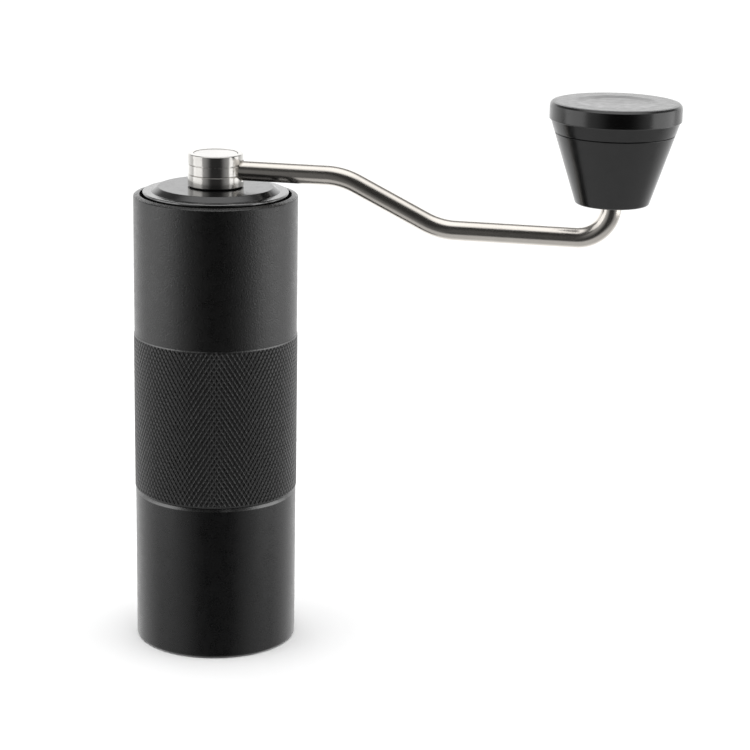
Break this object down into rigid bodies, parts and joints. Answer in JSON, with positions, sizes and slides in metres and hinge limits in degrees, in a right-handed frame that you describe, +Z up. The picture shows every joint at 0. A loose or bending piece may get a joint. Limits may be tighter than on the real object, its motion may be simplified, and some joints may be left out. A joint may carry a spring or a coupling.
{
  "type": "hand crank coffee grinder",
  "caption": "Hand crank coffee grinder: knurled tube with a conical burr set, lift-off lid with a bent crank and cone knob, and a screw-on grounds cup.",
  "frame": {"origin": "middle of the cup's flat base, where the grinder stands", "axes": "+Z up along the axis of the tube and the shaft; +X along the crank arm towards the knob; +Y completes the right-handed frame"},
  "size_m": [0.1712, 0.0524, 0.1822],
  "materials": {
    "black_anodised": "bead-blasted black anodising, satin",
    "black_lid": "turned, semi-gloss black anodising",
    "black_plastic": "moulded black plastic, semi-gloss",
    "polished_steel": "turned and polished stainless steel",
    "satin_steel": "satin stainless steel",
    "burr_steel": "ground hardened steel",
    "cast_alloy": "die-cast alloy, matt",
    "bush_bronze": "sintered bronze",
    "black_rubber": "matt black rubber"
  },
  "bodies": {
    "cup": {"grounds_cup": "black_anodised"},
    "thread_carrier": {"spigot_gasket": "black_rubber"},
    "body": {"housing": "black_anodised", "upper_bracket": "cast_alloy", "upper_bracket_ring": "satin_steel", "lower_bracket": "cast_alloy", "outer_burr": "burr_steel", "burr_snap_ring": "satin_steel", "upper_bearing_outer_ring": "satin_steel", "upper_bearing_top_shield": "black_rubber", "upper_bearing_bottom_shield": "black_rubber", "lower_bearing_outer_ring": "satin_steel", "lower_bearing_top_shield": "black_rubber", "lower_bearing_bottom_shield": "black_rubber"},
    "upper_cage": {"upper_bearing_ball_cage": "satin_steel"},
    "lower_cage": {"lower_bearing_ball_cage": "satin_steel"},
    "shaft": {"drive_shaft": "satin_steel", "shaft_circlip": "satin_steel", "upper_bearing_inner_ring": "satin_steel", "lower_bearing_inner_ring": "satin_steel", "spring_washer": "satin_steel", "burr_spring": "satin_steel"},
    "burr": {"inner_burr": "burr_steel", "click_plate": "satin_steel"},
    "dial": {"adjust_dial": "cast_alloy", "click_ball_1": "satin_steel", "click_ball_2": "satin_steel", "click_spring_1": "satin_steel", "click_spring_2": "satin_steel"},
    "lid": {"lid": "black_lid", "lid_seal": "black_rubber", "lid_bush": "bush_bronze", "hub_washer": "black_rubber"},
    "crank": {"crank_hub": "polished_steel", "hub_cap": "polished_steel", "hub_circlip": "satin_steel", "crank_arm": "satin_steel", "knob_thrust_washer": "satin_steel", "knob_top_washer": "satin_steel", "knob_screw": "satin_steel"},
    "knob": {"knob_body": "black_plastic", "knob_cap": "black_plastic", "knob_lower_bush": "bush_bronze", "knob_upper_bush": "bush_bronze"}
  },
  "joints": [
    {"name": "thread_rise", "type": "slide", "parent": "cup", "child": "thread_carrier", "axis": [0, 0, 1], "range_m": [0, 0.0085]},
    {"name": "cup_unscrew", "type": "hinge", "parent": "thread_carrier", "child": "body", "pos_m": [0, 0, 0.05], "axis": [0, 0, 1], "range_deg": [0, 1530]},
    {"name": "shaft_spin", "type": "hinge", "parent": "body", "child": "shaft", "pos_m": [0, 0, 0.1], "axis": [0, 0, 1], "continuous": true},
    {"name": "upper_cage_spin", "type": "hinge", "parent": "body", "child": "upper_cage", "pos_m": [0, 0, 0.1184], "axis": [0, 0, 1], "continuous": true},
    {"name": "lower_cage_spin", "type": "hinge", "parent": "body", "child": "lower_cage", "pos_m": [0, 0, 0.0887], "axis": [0, 0, 1], "continuous": true},
    {"name": "burr_gap", "type": "slide", "parent": "shaft", "child": "burr", "axis": [0, 0, 1], "range_m": [-0.0015, 0.001], "deforming": ["burr_spring"]},
    {"name": "dial_turn", "type": "hinge", "parent": "burr", "child": "dial", "pos_m": [0, 0, 0.0577], "axis": [0, 0, 1], "range_deg": [-540, 360]},
    {"name": "lid_lift", "type": "slide", "parent": "body", "child": "lid", "axis": [0, 0, 1], "range_m": [0, 0.04]},
    {"name": "crank_spin", "type": "hinge", "parent": "lid", "child": "crank", "pos_m": [0, 0, 0.15], "axis": [0, 0, 1], "continuous": true},
    {"name": "knob_spin", "type": "hinge", "parent": "crank", "child": "knob", "pos_m": [0.125, 0, 0.16], "axis": [0, 0, 1], "continuous": true}
  ],
  "couplings": [
    {"joint": "thread_rise", "follows": "cup_unscrew", "m_per_rad": 0.00031831},
    {"joint": "shaft_spin", "follows": "crank_spin", "ratio": 1},
    {"joint": "upper_cage_spin", "follows": "crank_spin", "ratio": 0.443},
    {"joint": "lower_cage_spin", "follows": "crank_spin", "ratio": 0.443},
    {"joint": "dial_turn", "follows": "burr_gap", "rad_per_m": 6283.2}
  ]
}
